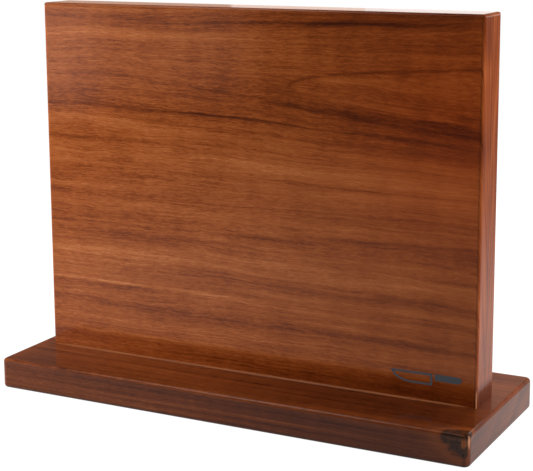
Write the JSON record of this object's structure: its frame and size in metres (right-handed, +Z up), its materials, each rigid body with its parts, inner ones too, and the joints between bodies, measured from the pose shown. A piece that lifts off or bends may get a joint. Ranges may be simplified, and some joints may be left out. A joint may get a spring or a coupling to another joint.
{
  "type": "magnetic knife block",
  "caption": "Free-standing double-sided magnetic knife block: an upright wooden panel with hidden magnets on a flat wooden base board.",
  "frame": {"origin": "on the table under the middle of the block, at the bottom of the feet", "axes": "+X along the panel towards the right-hand end seen from the front, the front face looks towards -Y, +Z up"},
  "size_m": [0.328, 0.119, 0.255],
  "materials": {
    "front_wood": "satin",
    "rear_wood": "satin",
    "base_wood": "gloss",
    "dowel_wood": "matte",
    "ferrite": "matte",
    "keeper_steel": "satin",
    "screw_steel": "satin",
    "silicone": "matte"
  },
  "bodies": {
    "root": {"base_board": "base_wood", "front_board": "front_wood", "rear_board": "rear_wood", "front_lower_magnet_1": "ferrite", "front_lower_magnet_2": "ferrite", "front_lower_magnet_3": "ferrite", "front_lower_magnet_4": "ferrite", "front_lower_magnet_5": "ferrite", "front_upper_magnet_1": "ferrite", "front_upper_magnet_2": "ferrite", "front_upper_magnet_3": "ferrite", "front_upper_magnet_4": "ferrite", "front_upper_magnet_5": "ferrite", "rear_lower_magnet_1": "ferrite", "rear_lower_magnet_2": "ferrite", "rear_lower_magnet_3": "ferrite", "rear_lower_magnet_4": "ferrite", "rear_lower_magnet_5": "ferrite", "rear_upper_magnet_1": "ferrite", "rear_upper_magnet_2": "ferrite", "rear_upper_magnet_3": "ferrite", "rear_upper_magnet_4": "ferrite", "rear_upper_magnet_5": "ferrite", "front_lower_keeper_strip": "keeper_steel", "front_upper_keeper_strip": "keeper_steel", "rear_lower_keeper_strip": "keeper_steel", "rear_upper_keeper_strip": "keeper_steel", "lower_left_board_dowel": "dowel_wood", "lower_right_board_dowel": "dowel_wood", "upper_left_board_dowel": "dowel_wood", "upper_right_board_dowel": "dowel_wood", "left_base_dowel": "dowel_wood", "right_base_dowel": "dowel_wood", "base_screws": "screw_steel", "front_left_foot": "silicone", "front_right_foot": "silicone", "rear_left_foot": "silicone", "rear_right_foot": "silicone"}
  },
  "joints": []
}
